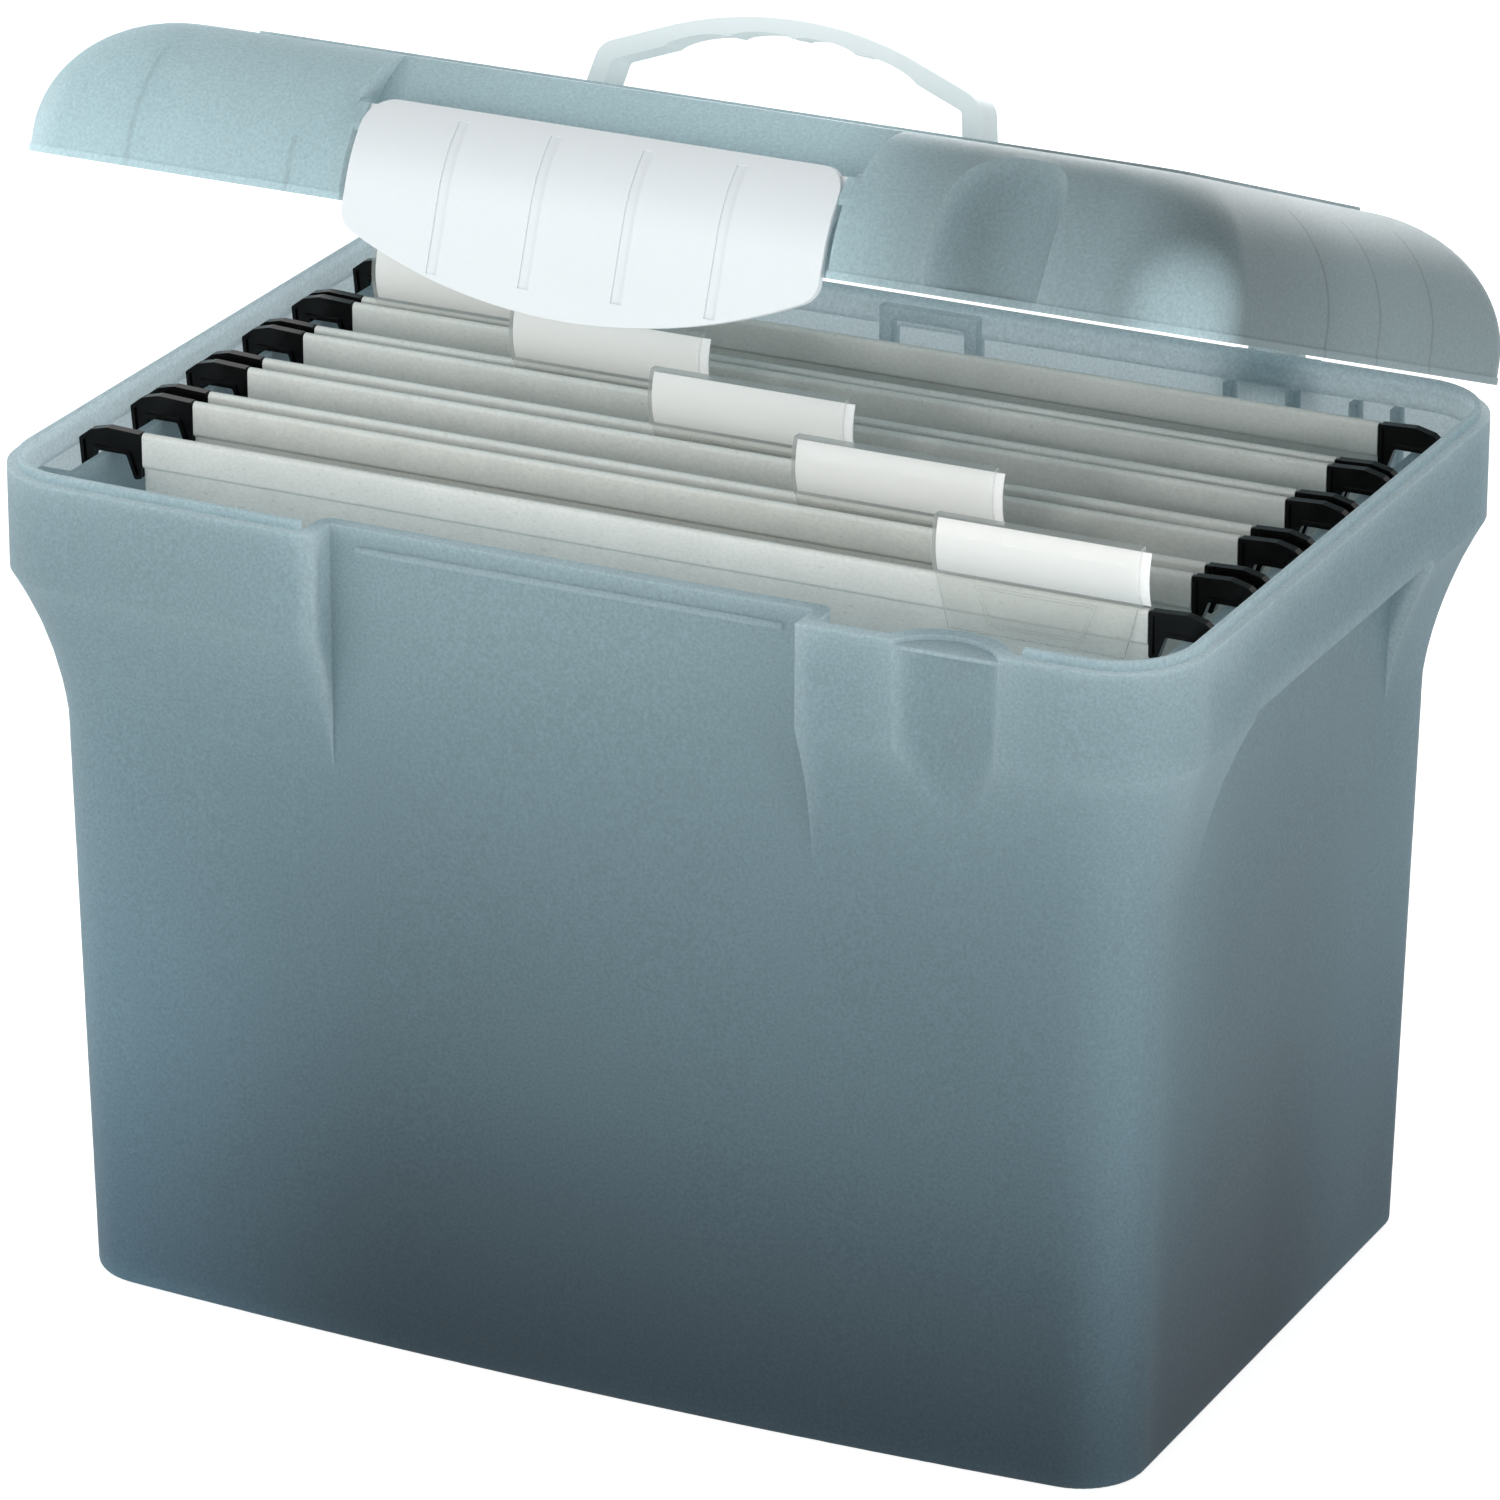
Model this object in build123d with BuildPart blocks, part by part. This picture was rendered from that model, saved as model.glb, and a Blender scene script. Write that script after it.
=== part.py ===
from build123d import *
import math
import os

# Portable file box for A4 suspension folders, in millimetres.
# Origin: on the underside of the case, under the middle of the rim. +X right, +Y back, +Z up.
# The lid, its latch and its handle are drawn in their closed places, on planes tilted open
# about the hinge, because the box rests with its lid part open.

os.makedirs("parts", exist_ok=True)

# ---------------------------------------------------------------- driving dimensions
RIM_WIDTH = 370.0
RIM_DEPTH = 252.0
SHOULDER_Z = 253.0
LIP_TOP_Z = 255.6
BASE_WIDTH = 336.0
BASE_FRONT = -112.0
BASE_BACK = 98.0
WALL = 2.4
FLOOR = 3.0
CLEARANCE = 0.3
RUNNING_FIT = 0.06

LID_RISE = 43.0
LID_OPEN = 21.0
LATCH_WIDTH = 146.0
HANDLE_WIDTH = 126.0

CARD_WIDTH = 315.0
CARD_TOP_Z = 253.5
CARD_HEIGHT = 238.0
BAR_PLACES = [(-77.0, -47.4), (-38.3, -14.9), (-5.9, 18.9), (25.8, 49.4), (55.0, 87.8)]


def save(part, name):
    part.label = name
    export_step(part, "parts/" + name + ".step")


# ---------------------------------------------------------------- the case, level by level
COLLAR_Z = 222.0
FLARE_Z = 166.0
FLARE_STEPS = 5
FLARE_ROUNDNESS = 1.7
FLARE_SINK = 0.5
COLLAR_RADIUS = 26.0
FRONT_RADIUS = 20.0
BACK_RADIUS = 12.0
BASE_EDGE = 2.0
BASE_BOW = 6.5
COLLAR_BOW = 3.0
SIDE_DRAFT = math.tan(math.radians(1.2))
FRONT_DRAFT = math.tan(math.radians(0.6))


def plan(plane, half_width, front, back, bow, front_radius, back_radius):
    """Plan of the box at one level: straight sides and back, bowed front, round corners."""
    with BuildSketch(plane) as section:
        with BuildLine():
            Polyline((-half_width, front), (-half_width, back), (half_width, back), (half_width, front))
            ThreePointArc((half_width, front), (0, front - bow), (-half_width, front))
        make_face()
        fillet(section.vertices().group_by(Axis.Y)[0], front_radius)
        fillet(section.vertices().group_by(Axis.Y)[-1], back_radius)
    return section.sketch


def bow_at(level):
    return BASE_BOW + (COLLAR_BOW - BASE_BOW) * level / SHOULDER_Z


def wall_plan(level, inset, plane=None):
    """The main walls, which lean out a little from the base upward."""
    return plan(
        plane or Plane.XY.offset(level),
        BASE_WIDTH / 2 + level * SIDE_DRAFT - inset,
        BASE_FRONT - level * FRONT_DRAFT + inset,
        BASE_BACK + level * SIDE_DRAFT - inset,
        bow_at(level),
        FRONT_RADIUS - inset,
        BACK_RADIUS - inset,
    )


def flare_share(level):
    """How far the concave flare has come from the wall (0) to the collar (1) at a level."""
    height = COLLAR_Z - FLARE_Z
    reach = min(max(level - FLARE_Z, 0.0), height)
    radius = FLARE_ROUNDNESS * height
    full = radius - math.sqrt(radius**2 - height**2)
    return (radius - math.sqrt(radius**2 - reach**2)) / full


def flare_plan(level, inset, plane=None):
    """The flared corners and the collar, which rise out of the main walls."""
    share = flare_share(level)
    inset += FLARE_SINK * (1 - share)

    def between(wall, collar):
        return wall + (collar - wall) * share

    return plan(
        plane or Plane.XY.offset(level),
        between(BASE_WIDTH / 2 + level * SIDE_DRAFT, RIM_WIDTH / 2) - inset,
        between(BASE_FRONT - level * FRONT_DRAFT, -RIM_DEPTH / 2) + inset,
        between(BASE_BACK + level * SIDE_DRAFT, RIM_DEPTH / 2) - inset,
        bow_at(level),
        between(FRONT_RADIUS, COLLAR_RADIUS) - inset,
        between(BACK_RADIUS, COLLAR_RADIUS) - inset,
    )


# latch recess and half-round scoop in the front collar, flat panels below the side collar
RECESS_HALF = 75.0
SCOOP_X = 119.6
SCOOP_RADIUS = 17.8
SCOOP_DEPTH = 10.0
SCOOP_TILT = 3.0
LID_SCOOP_TILT = 17.0
COLLAR_FRONT = -RIM_DEPTH / 2 - COLLAR_BOW
SCOOP_Y = COLLAR_FRONT - SCOOP_RADIUS + SCOOP_DEPTH + 1.0
PANEL_TOP_Z = 224.0
PANEL_TOP_ENDS = (-66.0, 63.0)
PANEL_LOW_ENDS = (-78.0, 62.0)


def flare_block(inset):
    """Solid flare and collar, less the side panels, the latch recess and the scoop."""
    levels = [FLARE_Z + (COLLAR_Z - FLARE_Z) * step / FLARE_STEPS for step in range(FLARE_STEPS + 1)]
    with BuildPart() as block:
        loft([flare_plan(level, inset) for level in levels])
        loft([flare_plan(COLLAR_Z, inset), flare_plan(SHOULDER_Z, inset)])
        with BuildSketch(Plane.YZ):
            with BuildLine():
                Polyline(
                    (PANEL_TOP_ENDS[0] - inset, PANEL_TOP_Z + inset),
                    (PANEL_TOP_ENDS[1] + inset, PANEL_TOP_Z + inset),
                    (PANEL_LOW_ENDS[1] + inset, FLARE_Z - 1),
                    (PANEL_LOW_ENDS[0] - inset, FLARE_Z - 1),
                    close=True,
                )
            make_face()
        extrude(amount=RIM_WIDTH, both=True, mode=Mode.SUBTRACT)
        with BuildSketch(Plane.XY.offset(FLARE_Z - 1)):
            with Locations((0, -RIM_DEPTH / 2)):
                Rectangle(2 * (RECESS_HALF + inset), RIM_DEPTH / 2)
        extrude(amount=RIM_DEPTH, mode=Mode.SUBTRACT)
        with BuildSketch(Plane(origin=(SCOOP_X, SCOOP_Y, SHOULDER_Z)).rotated((-SCOOP_TILT, 0, 0)).offset(1)):
            Circle(SCOOP_RADIUS + inset)
        extrude(amount=-RIM_DEPTH / 2, mode=Mode.SUBTRACT)
    return block.part


def rim_outline(plane, inset):
    """Outer edge of the rim with its recess and scoop, drawn in by an inset."""
    with BuildSketch(plane) as outline:
        add(flare_plan(SHOULDER_Z, 0, Plane.XY))
        with Locations((0, -RIM_DEPTH / 2)):
            Rectangle(2 * RECESS_HALF, RIM_DEPTH / 2, mode=Mode.SUBTRACT)
        with Locations((SCOOP_X, SCOOP_Y)):
            Circle(SCOOP_RADIUS, mode=Mode.SUBTRACT)
        add(wall_plan(SHOULDER_Z, 0, Plane.XY))
        offset(amount=-inset)
    return outline.sketch


def rim_ring(plane, outer_inset, inner_inset):
    with BuildSketch(plane) as ring:
        add(rim_outline(Plane.XY, outer_inset))
        add(rim_outline(Plane.XY, inner_inset), mode=Mode.SUBTRACT)
    return ring.sketch


# rim, hook rails, stiffening ribs, hinge ears and catch bead
FLANGE_Z = 246.0
LIP_INSET = 2.8
LIP_INNER = 4.6
LIP_GAP = (-80.0, 141.0)
SCOOP_WEB_Z = 250.6
SCOOP_WEB_THICK = 1.0
RAIL_TOP_Z = 246.3
RAIL_X = 169.4
RAIL_THICK = 2.4
RAIL_FRONT = -98.0
RAIL_BACK = 97.0
RAIL_LOW_Z = 220.0
RIB_PLACES = [97.0, 117.0, 137.0, 150.0]
RIB_THICK = 2.4
RIB_REACH = 6.0
RIB_LOW_Z = 196.0
BRACKET_HALF = 16.0
BRACKET_BAR = 4.0
BRACKET_LOW_Z = 228.0
BEAD_HALF = 66.0
BEAD_Z = 247.0
BEAD_RADIUS = 1.0
BEAD_REACH = 0.6
HINGE_Y = 131.0
HINGE_Z = 247.5
HINGE_X = 107.0
KNUCKLE_WIDTH = 16.0
KNUCKLE_RADIUS = 4.5
EAR_THICK = 5.0
EAR_RADIUS = 5.0
EAR_STEP = 0.5
HINGE_PIN_RADIUS = 2.5
BACK_INNER = RIM_DEPTH / 2 - WALL
RECESS_FLOOR = BASE_FRONT - SHOULDER_Z * FRONT_DRAFT - COLLAR_BOW
EAR_SPREAD = KNUCKLE_WIDTH / 2 + CLEARANCE + EAR_THICK / 2
ear_places = [side * HINGE_X + step * EAR_SPREAD for side in (-1, 1) for step in (-1, 1)]

# room inside the case, with the rails, ribs and bracket left standing in it
with BuildPart() as hollow:
    add(flare_block(WALL))
    loft([wall_plan(FLOOR, WALL), wall_plan(SHOULDER_Z, WALL)])
    with BuildSketch(Plane.XY.offset(RAIL_LOW_Z)):
        for side in (-1, 1):
            with Locations((side * RAIL_X, (RAIL_FRONT + RAIL_BACK) / 2)):
                Rectangle(RAIL_THICK, RAIL_BACK - RAIL_FRONT)
            for end in (RAIL_FRONT, RAIL_BACK):
                with Locations((side * (RAIL_X + RIM_WIDTH / 2) / 2, end)):
                    Rectangle(RIM_WIDTH / 2 - RAIL_X, RAIL_THICK)
    extrude(amount=RAIL_TOP_Z - RAIL_LOW_Z, mode=Mode.SUBTRACT)
    with BuildSketch(Plane.XY.offset(RIB_LOW_Z)):
        for place in RIB_PLACES:
            with Locations((-place, RIM_DEPTH / 2), (place, RIM_DEPTH / 2)):
                Rectangle(RIB_THICK, 2 * (RIB_REACH + WALL))
    extrude(amount=FLANGE_Z - RIB_LOW_Z, mode=Mode.SUBTRACT)
    with BuildSketch(Plane.XZ.offset(-RIM_DEPTH / 2)):
        with Locations((0, (BRACKET_LOW_Z + SHOULDER_Z) / 2)):
            Rectangle(2 * BRACKET_HALF, SHOULDER_Z - BRACKET_LOW_Z)
        with Locations((0, (BRACKET_LOW_Z + SHOULDER_Z) / 2 - BRACKET_BAR)):
            Rectangle(2 * (BRACKET_HALF - BRACKET_BAR), SHOULDER_Z - BRACKET_LOW_Z, mode=Mode.SUBTRACT)
    extrude(amount=RIB_REACH + WALL, mode=Mode.SUBTRACT)

with BuildPart() as case:
    loft([wall_plan(0, 0), wall_plan(SHOULDER_Z, 0)])
    fillet(case.faces().sort_by(Axis.Z)[0].edges(), BASE_EDGE)
    add(flare_block(0))
    add(hollow.part, mode=Mode.SUBTRACT)
    # rim flange, and on it the low lip inside the lid, which stops short of the recess and the scoop
    extrude(rim_ring(Plane.XY.offset(FLANGE_Z), CLEARANCE, LIP_INNER), amount=SHOULDER_Z - FLANGE_Z)
    with BuildSketch(Plane.XY.offset(SHOULDER_Z)):
        add(rim_ring(Plane.XY, LIP_INSET, LIP_INNER))
        with Locations((sum(LIP_GAP) / 2, -RIM_DEPTH / 2)):
            Rectangle(LIP_GAP[1] - LIP_GAP[0], RIM_DEPTH / 4, mode=Mode.SUBTRACT)
    extrude(amount=LIP_TOP_Z - SHOULDER_Z)
    # thin web across the top of the scoop
    with BuildSketch(Plane.XY.offset(SCOOP_WEB_Z)):
        with Locations((SCOOP_X, SCOOP_Y)):
            Circle(SCOOP_RADIUS + WALL / 2)
        add(flare_plan(SHOULDER_Z, 0, Plane.XY), mode=Mode.INTERSECT)
    extrude(amount=SCOOP_WEB_THICK)
    # catch bead under the rim, inside the latch recess
    with BuildSketch(Plane.YZ.offset(-BEAD_HALF)):
        with Locations((RECESS_FLOOR - BEAD_REACH, BEAD_Z)):
            Circle(BEAD_RADIUS)
    extrude(amount=2 * BEAD_HALF)
    # hinge ears behind the collar
    for place in ear_places:
        with BuildSketch(Plane.YZ.offset(place - EAR_THICK / 2)):
            with Locations((HINGE_Y, HINGE_Z)):
                Circle(EAR_RADIUS)
            with BuildLine():
                Polyline(
                    (HINGE_Y, HINGE_Z + EAR_RADIUS - EAR_STEP),
                    (BACK_INNER + 1, HINGE_Z + EAR_RADIUS - EAR_STEP),
                    (BACK_INNER + 1, HINGE_Z - 3 * EAR_RADIUS),
                    (HINGE_Y + EAR_RADIUS, HINGE_Z),
                    (HINGE_Y, HINGE_Z),
                    close=True,
                )
            make_face()
            with Locations((HINGE_Y, HINGE_Z)):
                Circle(HINGE_PIN_RADIUS + RUNNING_FIT, mode=Mode.SUBTRACT)
        extrude(amount=EAR_THICK)
save(case.part, "case")

# ---------------------------------------------------------------- lid, tilted open about the hinge
LID_LOW_Z = SHOULDER_Z + CLEARANCE
LID_SKIRT = 6.0
LID_TOP_Z = LID_LOW_Z + LID_RISE
LID_STEPS = 6
FRONT_ROUND = 36.0
SIDE_ROUND = 33.0
BACK_ROUND = 45.0
LID_CORNER_LOSS = 8.0
DOME_CENTRE = (COLLAR_FRONT + FRONT_ROUND, LID_LOW_Z + LID_SKIRT)
DOME_HEIGHT = LID_RISE - LID_SKIRT
PAD_HALF = 145.0
PAD_FRONT = -66.0
PAD_BACK = 88.0
PAD_RISE = 1.2
PAD_CORNER = 12.0
EDGE_BAND = (-0.4, 1.0)
EDGE_BAND_HEIGHT = 2.2
LID_RIB_THICK = 1.2
LID_RIB_REACH = 3.0
LID_RIB_LOW_Z = LIP_TOP_Z + 0.5
FRONT_RIBS = [(-143.0, 36.0), (-91.7, 17.0)]
SIDE_RIBS = [-38.0, 3.0, 46.0]
SIDE_RIB_HEIGHT = 32.0

open_angle = math.radians(LID_OPEN)
lean = Vector(0, math.cos(open_angle), -math.sin(open_angle))
rise = Vector(0, math.sin(open_angle), math.cos(open_angle))
hinge_point = Vector(0, HINGE_Y, HINGE_Z)
lid_plane = Plane(origin=hinge_point - lean * HINGE_Y - rise * HINGE_Z, x_dir=(1, 0, 0), z_dir=rise)


def lid_side_plane(x):
    """A plane across the lid at a given x, where sketches are drawn in depth and height."""
    return Plane(origin=lid_plane.origin + Vector(x, 0, 0), x_dir=lean, z_dir=(1, 0, 0))


def lid_front_plane(y):
    """An upright plane of the lid at a given depth, where sketches are drawn in width and height."""
    return Plane(origin=lid_plane.origin + lean * y, x_dir=(1, 0, 0), z_dir=-lean)


def lid_plan(turn, inset):
    """One level of the dome: turn goes from 0 at the skirt to 90 degrees at the top."""
    fall = 1 - math.cos(math.radians(turn))
    corner = COLLAR_RADIUS - LID_CORNER_LOSS * fall - inset
    level = LID_LOW_Z + LID_SKIRT + (LID_RISE - LID_SKIRT - inset) * math.sin(math.radians(turn))
    return plan(
        lid_plane.offset(level),
        RIM_WIDTH / 2 - SIDE_ROUND * fall - inset,
        -RIM_DEPTH / 2 + FRONT_ROUND * fall + inset,
        RIM_DEPTH / 2 - BACK_ROUND * fall - inset,
        COLLAR_BOW,
        corner,
        corner,
    )


LID_RECESS_DEEP = (-112.0, 278.0)
LID_RECESS_END = (-95.0, LID_TOP_Z + 1.5)
POCKET_HALF = 77.0
POCKET_Z = LID_LOW_Z + 28.0
WELL_HALF = HANDLE_WIDTH / 2 + 0.7
WELL_FRONT = -13.0
WELL_BACK = 33.0
WELL_FLOOR_Z = LID_LOW_Z + 30.0
WELL_CORNER = 5.0
LATCH_PIVOT = (-117.2, 278.0)
LATCH_PIN_RADIUS = 2.0
HANDLE_PIVOT = (-4.0, LID_LOW_Z + 37.5)
HANDLE_PIN_RADIUS = 2.5
PIN_REACH = 1.8
BLOCK_GAP = 0.3
LATCH_BLOCK = (-125.2, POCKET_Z - 8.0, 12.0, 8.0)
BOSS_RADIUS = 4.6
BOSS_REACH = 5.5


def recess_profile(inset, low):
    """Side view of the latch recess in the lid, from a given level upward."""
    with BuildSketch(Plane.XY) as profile:
        with BuildLine():
            Polyline(
                (LID_RECESS_END[0], LID_RECESS_END[1] - inset),
                (-RIM_DEPTH, LID_RECESS_END[1] - inset),
                (-RIM_DEPTH, LID_LOW_Z - 2),
                (RECESS_FLOOR + inset, LID_LOW_Z - 2),
                (RECESS_FLOOR + inset, LID_LOW_Z + LID_SKIRT),
            )
            ThreePointArc(
                (RECESS_FLOOR + inset, LID_LOW_Z + LID_SKIRT),
                (LID_RECESS_DEEP[0] + inset, LID_RECESS_DEEP[1]),
                (LID_RECESS_END[0], LID_RECESS_END[1] - inset),
            )
        make_face()
        with Locations((0, low)):
            Rectangle(4 * RIM_DEPTH, RIM_DEPTH, align=(Align.CENTER, Align.MIN), mode=Mode.INTERSECT)
    return profile.sketch


def dome(inset):
    """The lid's dome as a solid, less the latch recess, the scoop and the handle well."""
    turns = [90.0 * step / LID_STEPS for step in range(LID_STEPS + 1)]
    with BuildPart() as shape:
        loft([lid_plan(turn, inset) for turn in turns])
        extrude(lid_plan(0, inset), amount=-LID_SKIRT)
        # the recess widens by a small ledge above the latch pivots
        for half, low in ((RECESS_HALF, LID_LOW_Z - 1), (POCKET_HALF, POCKET_Z - inset)):
            with BuildSketch(lid_side_plane(-half - inset)):
                add(recess_profile(inset, low))
            extrude(amount=2 * (half + inset), mode=Mode.SUBTRACT)
        scoop_plane = lid_plane.offset(SHOULDER_Z)
        scoop_axis = Plane(
            origin=scoop_plane.from_local_coords((SCOOP_X, SCOOP_Y, 0)),
            x_dir=(1, 0, 0),
            z_dir=rise + lean * math.tan(math.radians(LID_SCOOP_TILT)),
        )
        with BuildSketch(scoop_axis.offset(-RIM_DEPTH / 4)):
            Circle(SCOOP_RADIUS + inset)
        extrude(amount=RIM_DEPTH / 2, mode=Mode.SUBTRACT)
        with BuildSketch(lid_plane.offset(WELL_FLOOR_Z - inset)):
            with Locations((0, (WELL_FRONT + WELL_BACK) / 2)):
                RectangleRounded(
                    2 * (WELL_HALF + inset), WELL_BACK - WELL_FRONT + 2 * inset, WELL_CORNER + inset
                )
        extrude(amount=LID_RISE, mode=Mode.SUBTRACT)
    return shape.part


def pad(level, inset):
    """The raised pad on top of the lid, less the handle well."""
    with BuildSketch(lid_plane.offset(level)) as outline:
        with Locations((0, (PAD_FRONT + PAD_BACK) / 2)):
            RectangleRounded(2 * (PAD_HALF - inset), PAD_BACK - PAD_FRONT - 2 * inset, PAD_CORNER - inset)
        with Locations((0, (WELL_FRONT + WELL_BACK) / 2)):
            RectangleRounded(
                2 * (WELL_HALF + inset),
                WELL_BACK - WELL_FRONT + 2 * inset,
                WELL_CORNER + inset,
                mode=Mode.SUBTRACT,
            )
    return outline.sketch


# hollow of the lid, with thin ribs left standing on its front and side walls
with BuildPart() as lid_hollow:
    add(dome(WALL))
    for place, height in FRONT_RIBS:
        with BuildSketch(lid_plane.offset(LID_RIB_LOW_Z)):
            with Locations((place, -RIM_DEPTH / 2)):
                Rectangle(LID_RIB_THICK, RIM_DEPTH / 2)
        extrude(amount=LID_LOW_Z + height - LID_RIB_LOW_Z, mode=Mode.SUBTRACT)
    with BuildSketch(lid_plane.offset(LID_RIB_LOW_Z)):
        for place in SIDE_RIBS:
            with Locations((-RIM_WIDTH / 2, place), (RIM_WIDTH / 2, place)):
                Rectangle(RIM_WIDTH / 4, LID_RIB_THICK)
    extrude(amount=LID_LOW_Z + SIDE_RIB_HEIGHT - LID_RIB_LOW_Z, mode=Mode.SUBTRACT)
    add(dome(WALL + LID_RIB_REACH))
    extrude(pad(LID_TOP_Z - 2 * WALL, WALL), amount=WALL + PAD_RISE)

with BuildPart() as lid:
    add(dome(0))
    extrude(pad(LID_TOP_Z - WALL, 0), amount=WALL + PAD_RISE)
    add(lid_hollow.part, mode=Mode.SUBTRACT)
    # narrow band round the lower edge
    extrude(rim_ring(lid_plane.offset(LID_LOW_Z), *EDGE_BAND), amount=EDGE_BAND_HEIGHT)
    for side in (-1, 1):
        # block on the recess wall that carries the latch stub, flush with the dome
        with BuildSketch(lid_side_plane(side * (LATCH_WIDTH / 2 + BLOCK_GAP))):
            with Locations(DOME_CENTRE):
                Ellipse(FRONT_ROUND - BLOCK_GAP, DOME_HEIGHT - BLOCK_GAP)
            with Locations(LATCH_BLOCK[:2]):
                Rectangle(*LATCH_BLOCK[2:], align=(Align.MIN, Align.MIN), mode=Mode.INTERSECT)
        extrude(amount=side * (RECESS_HALF - LATCH_WIDTH / 2 + BLOCK_GAP))
        # boss behind it
        with BuildSketch(lid_side_plane(side * RECESS_HALF)):
            with Locations(LATCH_PIVOT):
                Circle(BOSS_RADIUS)
        extrude(amount=side * BOSS_REACH)
    # knuckles between the ears of the case
    for side in (-1, 1):
        with BuildSketch(lid_side_plane(side * HINGE_X - KNUCKLE_WIDTH / 2)):
            with Locations((HINGE_Y, HINGE_Z)):
                Circle(KNUCKLE_RADIUS)
            with BuildLine():
                Polyline(
                    (HINGE_Y - KNUCKLE_RADIUS, HINGE_Z),
                    (HINGE_Y - KNUCKLE_RADIUS, LID_LOW_Z),
                    (RIM_DEPTH / 2 - WALL / 2, LID_LOW_Z),
                    (RIM_DEPTH / 2 - WALL / 2, LID_LOW_Z + 2 * LID_SKIRT),
                    (RIM_DEPTH / 2, LID_LOW_Z + 2 * LID_SKIRT),
                    (HINGE_Y + KNUCKLE_RADIUS, HINGE_Z),
                    close=True,
                )
            make_face()
        extrude(amount=KNUCKLE_WIDTH)
        # pin stubs that snap into the ears
        with BuildSketch(lid_side_plane(side * HINGE_X - KNUCKLE_WIDTH / 2 - EAR_THICK)):
            with Locations((HINGE_Y, HINGE_Z)):
                Circle(HINGE_PIN_RADIUS)
        extrude(amount=KNUCKLE_WIDTH + 2 * EAR_THICK)
    # bores for the latch and the handle stubs
    for pivot, radius in ((LATCH_PIVOT, LATCH_PIN_RADIUS), (HANDLE_PIVOT, HANDLE_PIN_RADIUS)):
        half = RECESS_HALF if pivot is LATCH_PIVOT else WELL_HALF
        for side in (-1, 1):
            with BuildSketch(lid_side_plane(side * (half + WALL / 2))):
                with Locations(pivot):
                    Circle(radius + RUNNING_FIT)
            extrude(amount=1.5 * WALL, both=True, mode=Mode.SUBTRACT)
save(lid.part, "lid")

# ---------------------------------------------------------------- front latch
LATCH_THICK = 2.6
LATCH_HALF = LATCH_WIDTH / 2
LATCH_TOP_Z = LID_LOW_Z + 30.0
LATCH_SIDE_Z = LID_LOW_Z - 6.0
LATCH_LOW_Z = LID_LOW_Z - 23.0
LATCH_CORNER = 7.0
LATCH_TOP_CORNER = 8.0
LATCH_TURN = 55.0
LUG_RADIUS = 3.2
LUG_THICK = 3.0
HOOK_HALF = 50.0
HOOK_TOP_Z = 244.8
HOOK_THICK = 3.0
HOOK_TIP = RECESS_FLOOR - BEAD_REACH - BEAD_RADIUS - 0.4
GROOVE_PITCH = 28.4
GROOVE_WIDTH = 3.4
GROOVE_DEPTH = 0.4
GROOVE_TURN = 34.0
GROOVE_LOW_Z = LID_LOW_Z - 16.0


def latch_section(outer, inner, low, turn):
    """Side view of a skin that follows the front of the dome, between two depths below it."""
    with BuildSketch(Plane.XY) as section:
        with BuildLine():
            outside, inside = [
                EllipticalCenterArc(
                    DOME_CENTRE, FRONT_ROUND - depth, DOME_HEIGHT - depth, start_angle=180 - turn, arc_size=turn
                )
                for depth in (outer, inner)
            ]
            Line(outside @ 0, inside @ 0)
            Polyline(outside @ 1, (COLLAR_FRONT + outer, low), (COLLAR_FRONT + inner, low), inside @ 1)
        make_face()
    return section.sketch


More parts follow.
